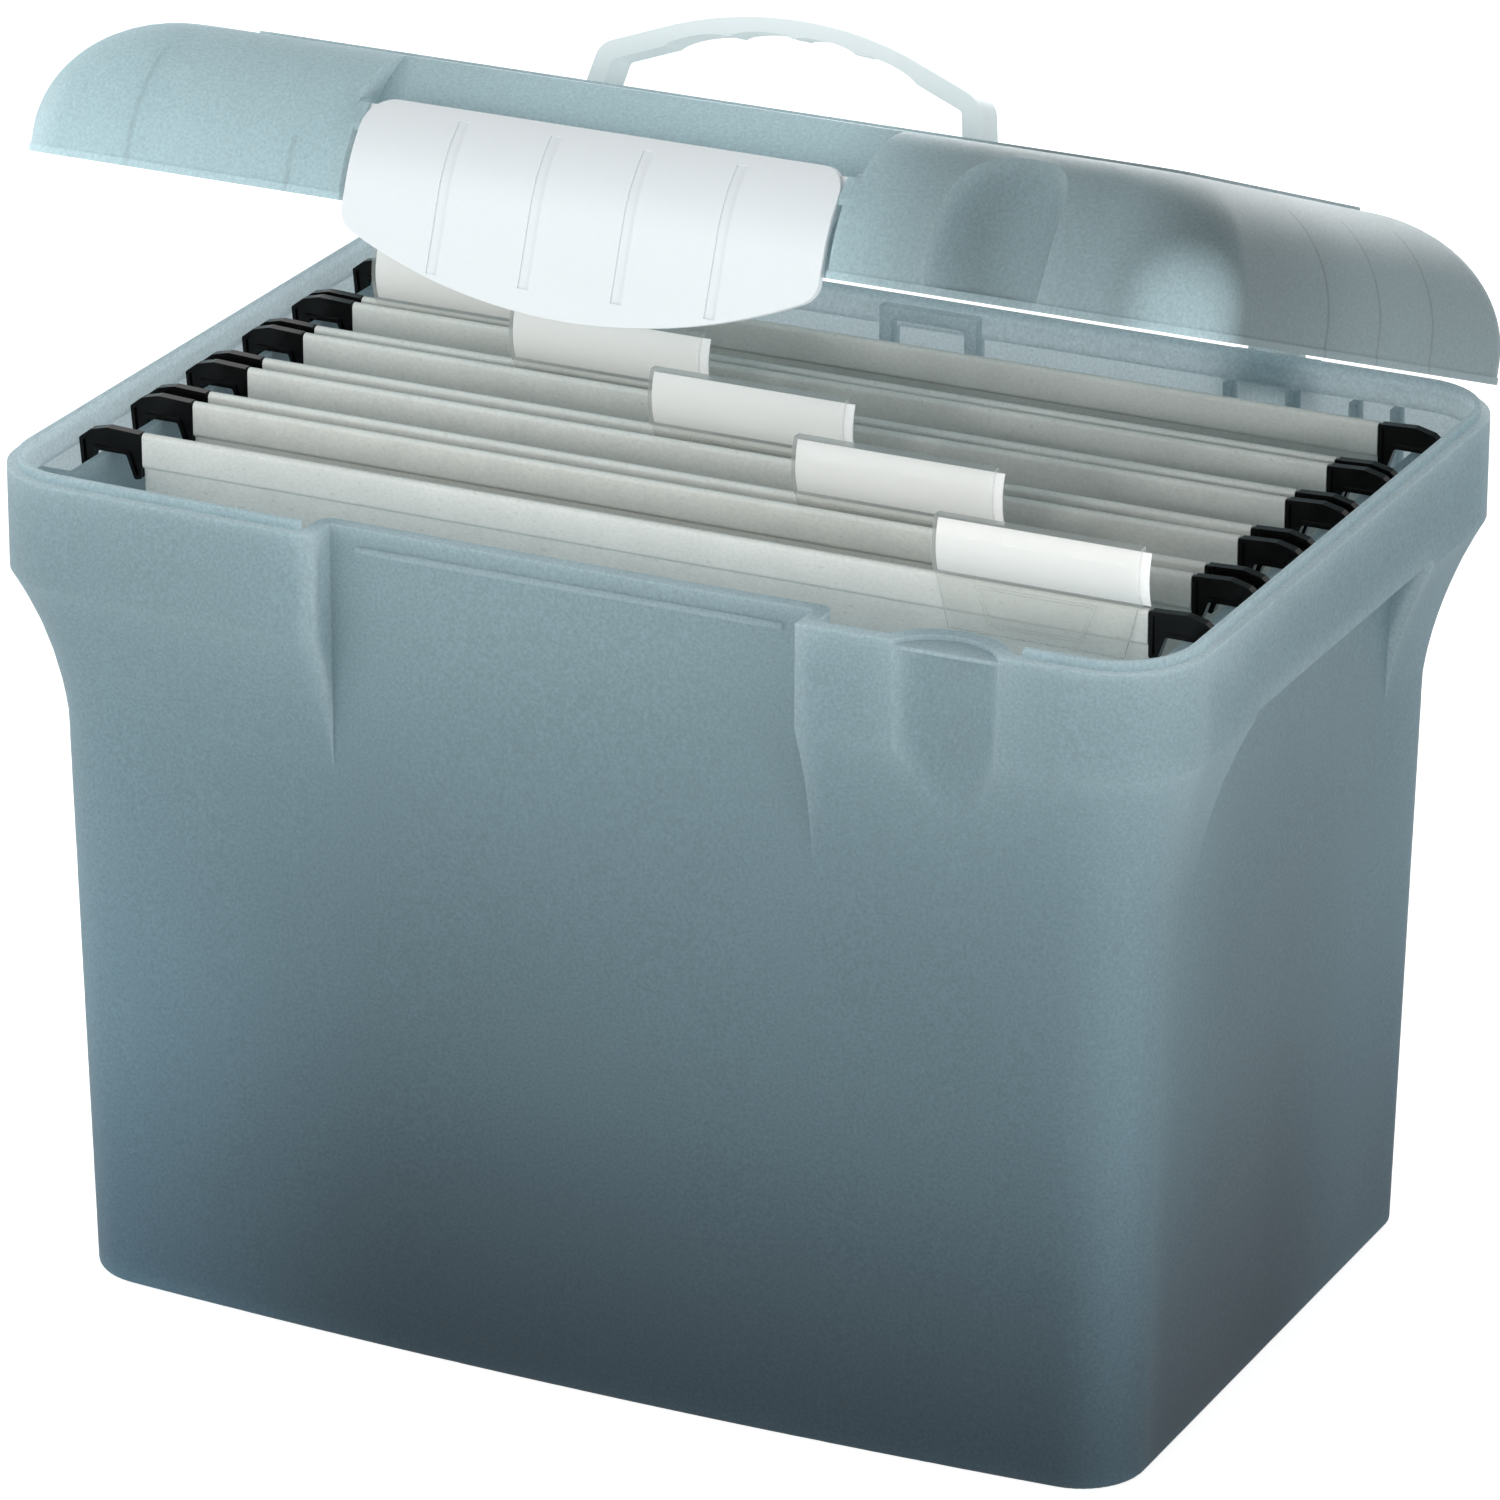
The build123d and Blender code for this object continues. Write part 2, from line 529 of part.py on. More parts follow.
with BuildPart() as latch:
    with BuildSketch(lid_side_plane(-LATCH_HALF)):
        add(latch_section(0, LATCH_THICK, LATCH_LOW_Z, LATCH_TURN))
    extrude(amount=LATCH_WIDTH)
    # front outline: straight top, bowed lower edge
    with BuildSketch(lid_front_plane(-RIM_DEPTH)) as outline:
        with BuildLine():
            Polyline(
                (-LATCH_HALF, LATCH_SIDE_Z),
                (-LATCH_HALF, LATCH_TOP_Z),
                (LATCH_HALF, LATCH_TOP_Z),
                (LATCH_HALF, LATCH_SIDE_Z),
            )
            ThreePointArc((LATCH_HALF, LATCH_SIDE_Z), (0, LATCH_LOW_Z), (-LATCH_HALF, LATCH_SIDE_Z))
        make_face()
        fillet(outline.vertices().group_by(Axis.Y)[-1], LATCH_TOP_CORNER)
        fillet(outline.vertices().group_by(Axis.Y)[0], LATCH_CORNER)
    extrude(amount=-RIM_DEPTH, mode=Mode.INTERSECT)
    # four shallow grooves down the front
    for step in (-1.5, -0.5, 0.5, 1.5):
        with BuildSketch(lid_side_plane(step * GROOVE_PITCH - GROOVE_WIDTH / 2)):
            add(latch_section(-1, GROOVE_DEPTH, GROOVE_LOW_Z, GROOVE_TURN))
        extrude(amount=GROOVE_WIDTH, mode=Mode.SUBTRACT)
    # catch lip across the back
    with BuildSketch(lid_side_plane(-HOOK_HALF)):
        with BuildLine():
            Polyline(
                (COLLAR_FRONT + LATCH_THICK - 0.5, HOOK_TOP_Z),
                (HOOK_TIP, HOOK_TOP_Z),
                (HOOK_TIP, HOOK_TOP_Z - HOOK_THICK / 2),
                (COLLAR_FRONT + LATCH_THICK - 0.5, HOOK_TOP_Z - 2 * HOOK_THICK),
                close=True,
            )
        make_face()
    extrude(amount=2 * HOOK_HALF)
    # end lugs with the pivot stubs
    for side in (-1, 1):
        with BuildSketch(lid_side_plane(side * (LATCH_HALF - LUG_THICK / 2))):
            with Locations(LATCH_PIVOT):
                Circle(LUG_RADIUS)
            with BuildLine():
                Polyline(
                    (LATCH_PIVOT[0], LATCH_PIVOT[1] + LUG_RADIUS),
                    (LATCH_PIVOT[0] - 3.5, LATCH_PIVOT[1] + LUG_RADIUS),
                    (COLLAR_FRONT + LATCH_THICK / 2, LATCH_PIVOT[1] - 4 * LUG_RADIUS),
                    (LATCH_PIVOT[0], LATCH_PIVOT[1] - LUG_RADIUS),
                    close=True,
                )
            make_face()
        extrude(amount=LUG_THICK / 2, both=True)
        with BuildSketch(lid_side_plane(side * LATCH_HALF)):
            with Locations(LATCH_PIVOT):
                Circle(LATCH_PIN_RADIUS)
        extrude(amount=(RECESS_HALF - LATCH_HALF + PIN_REACH), both=True)
save(latch.part, "front_latch")

# ---------------------------------------------------------------- carry handle
HANDLE_TOP_Z = LID_LOW_Z + 71.0
HANDLE_STRAP = 5.5
HANDLE_DEPTH = 13.0
HANDLE_HALF = HANDLE_WIDTH / 2
HANDLE_SIDE = [
    (37.0, LID_LOW_Z + 65.0), (60.0, LID_LOW_Z + 56.4),
    (HANDLE_HALF, LID_LOW_Z + 42.0), (HANDLE_HALF, LID_LOW_Z + 20.0),
]
ELBOW_RADIUS = 7.0
NECK_RADIUS = 30.0
SCALLOP_PITCH = 20.0
SCALLOP_SIZE = (10.5, 2.4)
SCALLOP_DEPTH = 1.2

with BuildPart() as handle:
    with BuildSketch(lid_front_plane(HANDLE_PIVOT[0])) as strap:
        with BuildLine():
            right = Polyline(*HANDLE_SIDE)
            left = mirror(right, about=Plane.YZ)
            Line(right @ 1, left @ 1)
            top_arc = ThreePointArc(right @ 0, (0, HANDLE_TOP_Z), left @ 0)
        make_face()
        fillet(strap.vertices().group_by(Axis.Y)[2], ELBOW_RADIUS)
        fillet(strap.vertices().group_by(Axis.Y)[-1], NECK_RADIUS)
        offset(amount=-HANDLE_STRAP, mode=Mode.SUBTRACT)
        # four finger scallops along the underside of the grip
        for step in (-1.5, -0.5, 0.5, 1.5):
            reach = HANDLE_TOP_Z - top_arc.arc_center.Y - HANDLE_STRAP - SCALLOP_SIZE[1] + SCALLOP_DEPTH
            tilt = math.asin(step * SCALLOP_PITCH / reach)
            with Locations((reach * math.sin(tilt), top_arc.arc_center.Y + reach * math.cos(tilt))):
                Ellipse(*SCALLOP_SIZE, rotation=-math.degrees(tilt), mode=Mode.SUBTRACT)
    extrude(amount=HANDLE_DEPTH / 2, both=True)
    # legs end in round feet on the pivot line
    with BuildSketch(lid_side_plane(-HANDLE_HALF)):
        with Locations(HANDLE_PIVOT):
            Circle(HANDLE_DEPTH / 2)
        with Locations((HANDLE_PIVOT[0], HANDLE_PIVOT[1] + LID_RISE / 2)):
            Rectangle(HANDLE_DEPTH, LID_RISE)
    extrude(amount=HANDLE_WIDTH, mode=Mode.INTERSECT)
    for side in (-1, 1):
        with BuildSketch(lid_side_plane(side * (HANDLE_HALF - HANDLE_STRAP / 2))):
            with Locations(HANDLE_PIVOT):
                Circle(HANDLE_PIN_RADIUS)
        extrude(amount=side * (HANDLE_STRAP / 2 + WELL_HALF - HANDLE_HALF + PIN_REACH))
save(handle.part, "carry_handle")

# ---------------------------------------------------------------- suspension folders
CARD_THICK = 0.6
CARD_FOLD = 8.0
CARD_LOW_Z = CARD_TOP_Z - CARD_HEIGHT
HEM_DEPTH = 3.0
HEM_HEIGHT = 10.6
BAR_DEPTH = 1.6
BAR_HEIGHT = 9.0
BAR_GAP = 0.3
HOOK_DEPTH = 3.0
HOOK_OUTLINE = [
    (157.8, 253.3), (169.0, 253.8), (174.6, 252.4), (178.4, 249.4), (177.6, 240.4), (174.4, 240.4),
    (173.4, 246.4), (162.8, 246.4), (160.2, 239.2), (157.8, 239.8),
]
HOOK_EDGE = 0.8
HOOK_BORDER = 1.2
HOOK_SINK = 0.7
TAB_WIDTH = 62.0
TAB_PITCH = 61.5
TAB_FIRST_X = 124.5
TAB_LOW_Z = 253.8
TAB_TOP_Z = 271.0
TAB_FRONT = -1.9
TAB_BULGE = -3.9
TAB_BACK = 1.0
TAB_WALL = 0.8
SKIRT_LOW_Z = 238.5
SKIRT_THICK = 0.8
SKIRT_TOP_HALF = 30.5
SKIRT_LOW_HALF = 26.5
RIDGE_TOP = (18.2, 252.5)
RIDGE_LOW = (13.9, 241.0)
RIDGE_WIDTH = 0.8
RIDGE_RISE = 0.3
LABEL_GAP = 0.1
LABEL_THICK = 0.4
LABEL_END = 2.8


def folder_card(front, back):
    """Card pocket: two panels joined by a rounded fold, each with a hem round its bar."""
    middle = (front + back) / 2
    with BuildPart() as card:
        with BuildSketch(Plane.YZ.offset(-CARD_WIDTH / 2)):
            with BuildLine():
                Polyline(
                    (front, CARD_TOP_Z - HEM_HEIGHT + CARD_THICK / 2),
                    (middle - CARD_FOLD / 2, CARD_LOW_Z + CARD_FOLD / 2),
                )
                ThreePointArc(
                    (middle - CARD_FOLD / 2, CARD_LOW_Z + CARD_FOLD / 2),
                    (middle, CARD_LOW_Z),
                    (middle + CARD_FOLD / 2, CARD_LOW_Z + CARD_FOLD / 2),
                )
                Line(
                    (middle + CARD_FOLD / 2, CARD_LOW_Z + CARD_FOLD / 2),
                    (back, CARD_TOP_Z - HEM_HEIGHT + CARD_THICK / 2),
                )
                offset(amount=CARD_THICK / 2, side=Side.BOTH, closed=True)
            make_face()
            for place in (front, back):
                with Locations((place, CARD_TOP_Z - HEM_HEIGHT / 2)):
                    RectangleRounded(HEM_DEPTH, HEM_HEIGHT, HEM_DEPTH / 2 - 0.1)
                    RectangleRounded(
                        HEM_DEPTH - 2 * CARD_THICK, HEM_HEIGHT - 2 * CARD_THICK, BAR_GAP, mode=Mode.SUBTRACT
                    )
        extrude(amount=CARD_WIDTH)
    return card.part


def folder_bar(place):
    """Flat bar in the hem with a moulded hook at each end."""
    with BuildPart() as bar:
        with BuildSketch(Plane.XZ.offset(-place)):
            with Locations((0, CARD_TOP_Z - HEM_HEIGHT / 2)):
                Rectangle(2 * HOOK_OUTLINE[0][0] + 1, BAR_HEIGHT)
        extrude(amount=BAR_DEPTH / 2, both=True)
        with BuildSketch(Plane.XZ.offset(-place)) as hook:
            with BuildLine():
                Polyline(*HOOK_OUTLINE, close=True)
            make_face()
            fillet(hook.vertices(), HOOK_EDGE)
            mirror(about=Plane.YZ)
        extrude(amount=HOOK_DEPTH / 2, both=True)
        # both faces of the hooks are sunk inside a raised border
        for face in (-1, 1):
            with BuildSketch(Plane.XZ.offset(-place + face * (HOOK_DEPTH / 2 - HOOK_SINK))):
                with BuildLine():
                    Polyline(*HOOK_OUTLINE, close=True)
                make_face()
                offset(amount=-HOOK_BORDER)
                mirror(about=Plane.YZ)
            extrude(amount=face * HOOK_SINK, mode=Mode.SUBTRACT)
    return bar.part


def sleeve_section(place, inset):
    """End view of the tab's sleeve: flat back and bulged front."""
    with BuildSketch(Plane.XY) as section:
        with BuildLine():
            walls = Polyline(
                (place + TAB_FRONT, TAB_LOW_Z),
                (place + TAB_BACK, TAB_LOW_Z),
                (place + TAB_BACK, TAB_TOP_Z),
                (place + TAB_FRONT, TAB_TOP_Z),
            )
            ThreePointArc(walls @ 1, (place + TAB_BULGE, (TAB_LOW_Z + TAB_TOP_Z) / 2), walls @ 0)
        make_face()
        offset(amount=-inset)
    return section.sketch


def skirt_face(x, top, low):
    """Front view of a tapered tongue: top and low each give a half width and a level."""
    with BuildSketch(Plane.XY) as tongue:
        with BuildLine():
            Polyline(
                (x - top[0], top[1]),
                (x + top[0], top[1]),
                (x + low[0], low[1]),
                (x - low[0], low[1]),
                close=True,
            )
        make_face()
    return tongue.sketch


def index_tab(place, x):
    """Clear holder: a sleeve above the hem, open at its right end, and a skirt in front of the hem."""
    with BuildPart() as tab:
        with BuildSketch(Plane.YZ.offset(x - TAB_WIDTH / 2)):
            add(sleeve_section(place, 0))
        extrude(amount=TAB_WIDTH)
        with BuildSketch(Plane.YZ.offset(x - TAB_WIDTH / 2 + TAB_WALL)):
            add(sleeve_section(place, TAB_WALL))
        extrude(amount=TAB_WIDTH, mode=Mode.SUBTRACT)
        skirt_y = place - HEM_DEPTH / 2 - 0.1
        with BuildSketch(Plane.XZ.offset(-skirt_y)):
            add(skirt_face(x, (SKIRT_TOP_HALF, TAB_LOW_Z + TAB_WALL), (SKIRT_LOW_HALF, SKIRT_LOW_Z)))
        extrude(amount=SKIRT_THICK)
        # raised outline on the skirt
        with BuildSketch(Plane.XZ.offset(-skirt_y)):
            add(skirt_face(x, RIDGE_TOP, RIDGE_LOW))
            offset(amount=-RIDGE_WIDTH, mode=Mode.SUBTRACT)
        extrude(amount=SKIRT_THICK + RIDGE_RISE)
    return tab.part


def paper_insert(place, x):
    """Blank paper strip inside the sleeve, bent to its front; its right end stands out a little."""
    with BuildPart() as paper:
        with BuildSketch(Plane.YZ.offset(x - TAB_WIDTH / 2 + TAB_WALL + LABEL_GAP)):
            add(sleeve_section(place, TAB_WALL + LABEL_GAP))
            add(sleeve_section(place + LABEL_THICK, TAB_WALL + LABEL_GAP), mode=Mode.SUBTRACT)
        extrude(amount=TAB_WIDTH - TAB_WALL - LABEL_GAP + LABEL_END)
    return paper.part


for number, (front, back) in enumerate(BAR_PLACES, start=1):
    tab_x = TAB_FIRST_X - TAB_PITCH * (number - 1)
    save(folder_card(front, back), f"folder_{number}_card")
    save(folder_bar(front), f"folder_{number}_front_bar")
    save(folder_bar(back), f"folder_{number}_back_bar")
    save(index_tab(front, tab_x), f"folder_{number}_tab")
    save(paper_insert(front, tab_x), f"folder_{number}_label")
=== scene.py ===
import math

import bpy
from mathutils import Matrix, Vector

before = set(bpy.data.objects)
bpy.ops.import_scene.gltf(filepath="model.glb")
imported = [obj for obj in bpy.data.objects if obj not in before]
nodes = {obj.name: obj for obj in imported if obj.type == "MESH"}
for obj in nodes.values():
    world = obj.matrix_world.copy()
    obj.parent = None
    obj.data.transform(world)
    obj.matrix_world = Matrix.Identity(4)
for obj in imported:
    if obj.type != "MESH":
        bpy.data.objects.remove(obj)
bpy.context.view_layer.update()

# ---------------------------------------------------------------- case
# The tub is one moulding in smoky see-through polypropylene with a fine matt texture. Light comes
# through its thin walls. Light and shade are also painted into its colour: it is paler at the
# corners and along the rim, and darker low down, most of all in the middle of each wall, where
# least light reaches it.

# Low and High are the colours at the heights From and To, in metres. Low is darker by painted
# shade.
CASE_SMOKE = {"Low": (0.078, 0.126, 0.160), "High": (0.255, 0.355, 0.395)}
CASE_GLOW = {"Low": (0.265, 0.365, 0.41), "High": (0.78, 0.84, 0.855)}
CASE_SHADE_AND_MOTTLE = {"From": 0.0, "To": 0.262, "Cloud": 0.10, "Speckle": 0.45}
CASE_GRAIN = {"Grain": 900.0, "Smooth": 0.36, "Matt": 0.52, "Strength": 0.25}
CASE_SHEEN = 0.35
CASE_THROUGH = 0.60

# Each of these runs between two places in metres, with its share at each. The corners' places are
# across the box and from its front to its back; those of the painted light and shade are heights.
LEFT_CORNER = (-0.165, -0.05, 0.0, 1.0)
RIGHT_CORNER = (0.148, 0.176, 1.0, 0.35)
FRONT_CORNER = (-0.112, -0.08, 0.0, 1.0)
BACK_CORNER = (-0.01, 0.06, 1.0, 0.0)
PAINTED_CORNER_LIGHT = (0.04, 0.24, 0.45, 0.0)
PAINTED_RIM_LIGHT = (0.2515, 0.2535, 0.0, 0.12)
PAINTED_SHADE_POOL = (0.0, 0.12, 0.34, 0.0)

GRAIN_SHARE = 0.6
PATCH_SHARE = 0.4
PATCH_SCALE = 11.0
GRAIN_SPAN = (0.3, 0.7)
GRAIN_RISE = 0.0002
CLOUD_SCALE = 9.0
SPECK_SCALE = 1100.0
NOISE_MIDDLE = 0.5


def wire(tree, socket, value):
    """Sets an input, or links it where the value comes out of another node."""
    if isinstance(value, bpy.types.NodeSocket):
        tree.links.new(value, socket)
    else:
        socket.default_value = value


def add_node(tree, kind, **inputs):
    """A node of that kind, with each named input either set or linked."""
    node = tree.nodes.new(kind)
    for name, value in inputs.items():
        wire(tree, node.inputs[name.replace("_", " ")], value)
    return node


def object_place(tree):
    """Where each point lies on the object, in metres."""
    return tree.nodes.new("ShaderNodeTexCoord").outputs["Object"]


def split_place(tree, place):
    """The three parts of a place: across, deep and high."""
    parts = add_node(tree, "ShaderNodeSeparateXYZ", Vector=place).outputs
    return parts["X"], parts["Y"], parts["Z"]


def noise(tree, place, scale, detail):
    """A random pattern from 0 to 1, finer at a larger scale."""
    node = add_node(tree, "ShaderNodeTexNoise", Vector=place, Scale=scale, Detail=detail)
    return node.outputs["Fac"]


def smooth_step(tree, value, start, end, low=0.0, high=1.0):
    """A value that runs softly from low to high as the one given goes from start to end."""
    step = add_node(tree, "ShaderNodeMapRange", Value=value, From_Min=start, From_Max=end,
                    To_Min=low, To_Max=high)
    step.interpolation_type = "SMOOTHSTEP"
    return step.outputs["Result"]


def calculate(tree, operation, first, second=0.0):
    """The outcome of one sum on one or two values."""
    node = tree.nodes.new("ShaderNodeMath")
    node.operation = operation
    wire(tree, node.inputs[0], first)
    wire(tree, node.inputs[1], second)
    return node.outputs["Value"]


def add_up(tree, total, *others):
    """All the values added together."""
    for other in others:
        total = calculate(tree, "ADD", total, other)
    return total


def multiply(tree, product, *others):
    """All the values multiplied together."""
    for other in others:
        product = calculate(tree, "MULTIPLY", product, other)
    return product


def subtract(tree, whole, part):
    """The whole less the part."""
    return calculate(tree, "SUBTRACT", whole, part)


def scale_colour(tree, colour, amount):
    """The colour made lighter or darker by the amount."""
    node = tree.nodes.new("ShaderNodeVectorMath")
    node.operation = "SCALE"
    wire(tree, node.inputs[0], colour)
    wire(tree, node.inputs["Scale"], amount)
    return node.outputs["Vector"]


def blend_colours(tree, share, first, second):
    """The first colour where the share is 0 and the second where it is 1."""
    node = tree.nodes.new("ShaderNodeMix")
    node.data_type = "RGBA"
    sockets = {socket.identifier: socket for socket in node.inputs}
    wire(tree, sockets["Factor_Float"], share)
    wire(tree, sockets["A_Color"], first)
    wire(tree, sockets["B_Color"], second)
    return {socket.identifier: socket for socket in node.outputs}["Result_Color"]


def new_group(name, given, made):
    """An empty shader group with its sockets, each a name and a kind."""
    group = bpy.data.node_groups.new(name, "ShaderNodeTree")
    for sockets, way in ((given, "INPUT"), (made, "OUTPUT")):
        for socket, kind in sockets:
            group.interface.new_socket(name=socket, in_out=way, socket_type="NodeSocket" + kind)
    inside = group.nodes.new("NodeGroupInput").outputs
    return group, inside, group.nodes.new("NodeGroupOutput").inputs


def moulded_grain():
    """Fine matt texture of a mould, with a smoother patch here and there."""
    group, given, made = new_group(
        "moulded grain",
        (("Grain", "Float"), ("Smooth", "Float"), ("Matt", "Float"), ("Strength", "Float")),
        (("Roughness", "Float"), ("Normal", "Vector")),
    )
    place = object_place(group)
    grain = noise(group, place, given["Grain"], detail=2.0)
    patch = noise(group, place, PATCH_SCALE, detail=2.0)
    both = add_up(group, multiply(group, grain, GRAIN_SHARE), multiply(group, patch, PATCH_SHARE))
    rough = add_node(group, "ShaderNodeMapRange", Value=both, From_Min=GRAIN_SPAN[0],
                     From_Max=GRAIN_SPAN[1], To_Min=given["Smooth"], To_Max=given["Matt"])
    wire(group, made["Roughness"], rough.outputs["Result"])
    bump = add_node(group, "ShaderNodeBump", Height=grain, Distance=GRAIN_RISE,
                    Strength=given["Strength"])
    wire(group, made["Normal"], bump.outputs["Normal"])
    return group


def frosted_tint():
    """Tint of a frosted wall: two colours by height, cloudy in the large, speckled in the small."""
    group, given, made = new_group(
        "frosted tint",
        (("Low", "Color"), ("High", "Color"), ("From", "Float"), ("To", "Float"),
         ("Cloud", "Float"), ("Speckle", "Float")),
        (("Color", "Color"),),
    )
    place = object_place(group)
    height = split_place(group, place)[2]
    span = add_node(group, "ShaderNodeMapRange", Value=height, From_Min=given["From"],
                    From_Max=given["To"])
    shade = blend_colours(group, span.outputs["Result"], given["Low"], given["High"])
    cloud = subtract(group, noise(group, place, CLOUD_SCALE, detail=3.0), NOISE_MIDDLE)
    speck = subtract(group, noise(group, place, SPECK_SCALE, detail=1.0), NOISE_MIDDLE)
    amount = add_up(group, multiply(group, cloud, given["Cloud"]),
                    multiply(group, speck, given["Speckle"]), 1.0)
    wire(group, made["Color"], scale_colour(group, shade, amount))
    return group


MOULDED_GRAIN = moulded_grain()
FROSTED_TINT = frosted_tint()


def place_group(tree, group, inputs):
    """The outputs of a group put into the material, with its inputs set."""
    node = tree.nodes.new("ShaderNodeGroup")
    node.node_tree = group
    for name, value in inputs.items():
        node.inputs[name].default_value = (*value, 1.0) if isinstance(value, tuple) else value
    return node.outputs


def start_material(name):
    """A new material, its nodes and its surface shader."""
    material = bpy.data.materials.new(name)
    material.use_nodes = True
    return material, material.node_tree, material.node_tree.nodes["Principled BSDF"]


def texture_surface(tree, shader, grain):
    """Gives a moulded surface its grain."""
    made = place_group(tree, MOULDED_GRAIN, grain)
    wire(tree, shader.inputs["Roughness"], made["Roughness"])
    wire(tree, shader.inputs["Normal"], made["Normal"])


def let_light_through(tree, shader, tint, share):
    """Mixes light that comes through the wall with the light off its surface."""
    through = add_node(tree, "ShaderNodeBsdfTranslucent", Color=tint)
    blend = add_node(tree, "ShaderNodeMixShader", Fac=share)
    wire(tree, blend.inputs[1], shader.outputs["BSDF"])
    wire(tree, blend.inputs[2], through.outputs["BSDF"])
    wire(tree, tree.nodes["Material Output"].inputs["Surface"], blend.outputs["Shader"])


def smoke_wall(tree, shader, smoke, glow, painted_light_level, share):
    """Colours a smoky wall and the light through it, both with painted light and shade."""
    surface = place_group(tree, FROSTED_TINT, smoke)["Color"]
    through = place_group(tree, FROSTED_TINT, glow)["Color"]
    wire(tree, shader.inputs["Base Color"], scale_colour(tree, surface, painted_light_level))
    let_light_through(tree, shader, scale_colour(tree, through, painted_light_level), share)


def dress(material, *names):
    """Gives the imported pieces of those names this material."""
    for name in names:
        slots = nodes[name].data.materials
        slots.clear()
        slots.append(material)


case_plastic, tree, shader = start_material("smoky case")
texture_surface(tree, shader, CASE_GRAIN)
across, deep, high = split_place(tree, object_place(tree))
# Painted light and shade: paler low down at the corners and along the rim, and painted shade low
# down in the middle of each wall.
middle = multiply(tree, smooth_step(tree, across, *LEFT_CORNER),
                  smooth_step(tree, across, *RIGHT_CORNER))
midway = multiply(tree, smooth_step(tree, deep, *FRONT_CORNER),
                  smooth_step(tree, deep, *BACK_CORNER))
corner = multiply(tree, subtract(tree, 1.0, middle), subtract(tree, 1.0, midway))
painted_shade_pool = multiply(tree, subtract(tree, 1.0, corner), smooth_step(tree, high, *PAINTED_SHADE_POOL))
painted_corner_light = multiply(tree, corner, smooth_step(tree, high, *PAINTED_CORNER_LIGHT))
painted_rim_light = smooth_step(tree, high, *PAINTED_RIM_LIGHT)
painted_light_level = add_up(tree, subtract(tree, 1.0, painted_shade_pool), painted_corner_light, painted_rim_light)
shader.inputs["Specular IOR Level"].default_value = CASE_SHEEN
smoke_wall(tree, shader, {**CASE_SMOKE, **CASE_SHADE_AND_MOTTLE}, {**CASE_GLOW, **CASE_SHADE_AND_MOTTLE}, painted_light_level,
           CASE_THROUGH)
dress(case_plastic, "case")

# ---------------------------------------------------------------- lid
# The lid is a domed moulding in the same smoky plastic, hinged at the back on its own pin stubs.
# Light and shade are painted into its colour. It is paler lower down and along its lower edge, its
# front is paler at the left and darker at the right, its right side is darker, a painted streak of
# light lies on the right corner, and faint painted dark lines lie where thin ribs stand inside its
# walls.
LID_SMOKE = {"Low": (0.32, 0.425, 0.455), "High": (0.30, 0.405, 0.435)}
LID_GLOW = {"Low": (0.88, 0.935, 0.94), "High": (0.80, 0.86, 0.87)}
LID_LIGHT_AND_MOTTLE = {"From": 0.26, "To": 0.38, "Cloud": 0.14, "Speckle": 0.40}
LID_GRAIN = {"Grain": 900.0, "Smooth": 0.34, "Matt": 0.50, "Strength": 0.25}
LID_SHEEN = 0.15
LID_THROUGH = 0.40

# The turn and shift that take a point of the open lid to where it lies when the lid is shut.
LID_TURN = math.radians(21)
LID_SHIFT = (0.0, 0.097397, -0.030507)

# Places and shares of the painted light and shade on the shut lid, written as on the case. The
# painted streak of light goes by the place across less the place back, so that it lies on the
# right front corner.
LID_LEFT = (-0.17, 0.0, 0.27, 0.0)
LID_MIDDLE = (-0.13, 0.01, 0.0, 0.32)
LID_RIGHT = (0.055, 0.11, 0.0, 0.48)
LID_FRONT = (-0.09, 0.02, 1.0, 0.0)
LID_SIDE = (0.15, 0.178, 1.0, 0.68)
LID_PAINTED_STREAK = (0.284, 0.297, 0.0, 0.62)
LID_PAINTED_EDGE = (0.2549, 0.2557, 0.10, 0.0)

# The front is before the first place and a side is past the second. Each front rib has its place
# across and its height, and each side rib its place back from the middle.
FRONT_FACE = -0.11
SIDE_FACE = 0.168
FRONT_RIBS = ((-0.143, 0.289), (-0.0917, 0.270))
SIDE_RIBS = (-0.038, 0.003, 0.046)
RIB_SHADE = 0.13
RIB_FADE = 0.002
RIB_LINE = (0.0003, 0.0013, 1.0, 0.0)

lid_plastic, tree, shader = start_material("smoky lid")
texture_surface(tree, shader, LID_GRAIN)
shut = add_node(tree, "ShaderNodeMapping", Vector=object_place(tree),
                Rotation=(LID_TURN, 0.0, 0.0), Location=LID_SHIFT).outputs["Vector"]
across, deep, high = split_place(tree, shut)


def rib_line(tree, value, middle):
    """1 on a soft line a little over a millimetre wide, 0 beside it."""
    away = calculate(tree, "ABSOLUTE", subtract(tree, value, middle))
    return smooth_step(tree, away, *RIB_LINE)


# The lid's painted light and shade: paler at the left and middle of its front, darker at its right
# and on its right side, with a painted streak of light and a paler lower edge.
painted_light_level = add_up(tree, smooth_step(tree, across, *LID_LEFT), smooth_step(tree, across, *LID_MIDDLE))
painted_light_level = subtract(tree, painted_light_level, smooth_step(tree, across, *LID_RIGHT))
painted_light_level = multiply(tree, painted_light_level, smooth_step(tree, deep, *LID_FRONT))
painted_light_level = add_up(tree, painted_light_level, smooth_step(tree, across, *LID_SIDE),
               smooth_step(tree, subtract(tree, across, deep), *LID_PAINTED_STREAK),
               smooth_step(tree, high, *LID_PAINTED_EDGE))
